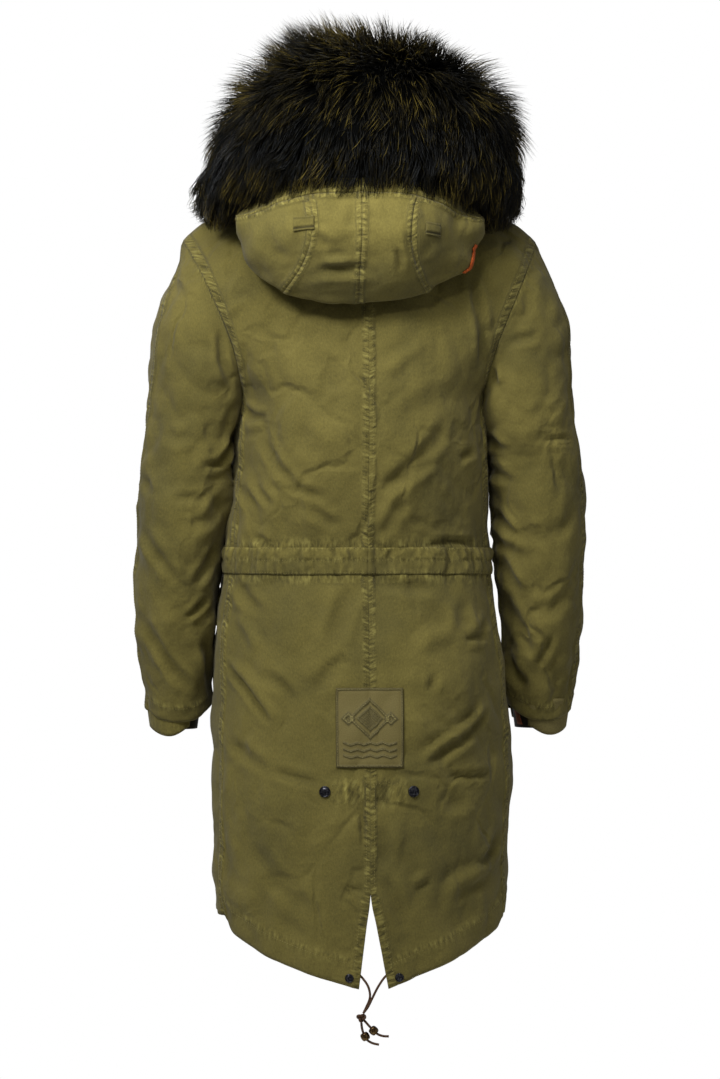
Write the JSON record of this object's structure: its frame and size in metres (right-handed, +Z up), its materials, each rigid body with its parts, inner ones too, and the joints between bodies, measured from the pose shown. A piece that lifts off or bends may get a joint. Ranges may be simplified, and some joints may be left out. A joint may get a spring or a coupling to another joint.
{
  "type": "fur trimmed parka",
  "caption": "Knee-length hooded coat with a split fishtail hem, drawn-in waist channel, snapped fly and a thick fur ruff, filled out as worn.",
  "frame": {"origin": "between the wearer's shoulders, level with the nape seam, where the shoulders carry the coat", "axes": "+X to the wearer's left, -Y to the front, +Z up"},
  "size_m": [0.5763, 0.407, 1.2556],
  "materials": {
    "shell": "washed cotton twill, matte",
    "trim": "washed cotton twill, matte",
    "lining": "dark woven lining",
    "fur": "long dark fur",
    "snap": "gunmetal",
    "brass": "antique brass",
    "leather": "waxed brown leather",
    "tab": "orange leather"
  },
  "bodies": {
    "root": {"back_left": "shell", "back_patch": "trim", "back_right": "shell", "back_snap_left": "snap", "back_snap_right": "snap", "bead_left": "brass", "bead_right": "brass", "cord_knot": "leather", "cord_left": "leather", "cord_right": "leather", "cuff_band_left": "trim", "cuff_band_right": "trim", "cuff_lining_left": "lining", "cuff_lining_right": "lining", "cuff_snap_left": "snap", "cuff_strip_right": "leather", "fly_snap_1": "snap", "fly_snap_2": "snap", "fly_snap_3": "snap", "fly_snap_4": "snap", "fly_snap_5": "snap", "fly_snap_6": "snap", "fly_strip": "trim", "front_left": "shell", "front_right": "shell", "hem_snap_left": "snap", "hem_snap_right": "snap", "hood_brim_left": "shell", "hood_brim_right": "shell", "hood_centre_left": "shell", "hood_centre_right": "shell", "hood_loop_left": "trim", "hood_loop_right": "trim", "hood_side_left": "shell", "hood_side_right": "shell", "hood_tab": "tab", "pocket_flap_left": "trim", "pocket_flap_right": "trim", "pocket_snap_left": "snap", "pocket_snap_right": "snap", "ruff_back_left": "fur", "ruff_back_right": "fur", "ruff_front_left": "fur", "ruff_front_right": "fur", "sleeve_back_left": "shell", "sleeve_back_right": "shell", "sleeve_front_left": "shell", "sleeve_front_right": "shell", "tail_left": "leather", "tail_right": "leather", "waist_channel_left": "trim", "waist_channel_right": "trim"}
  },
  "joints": []
}
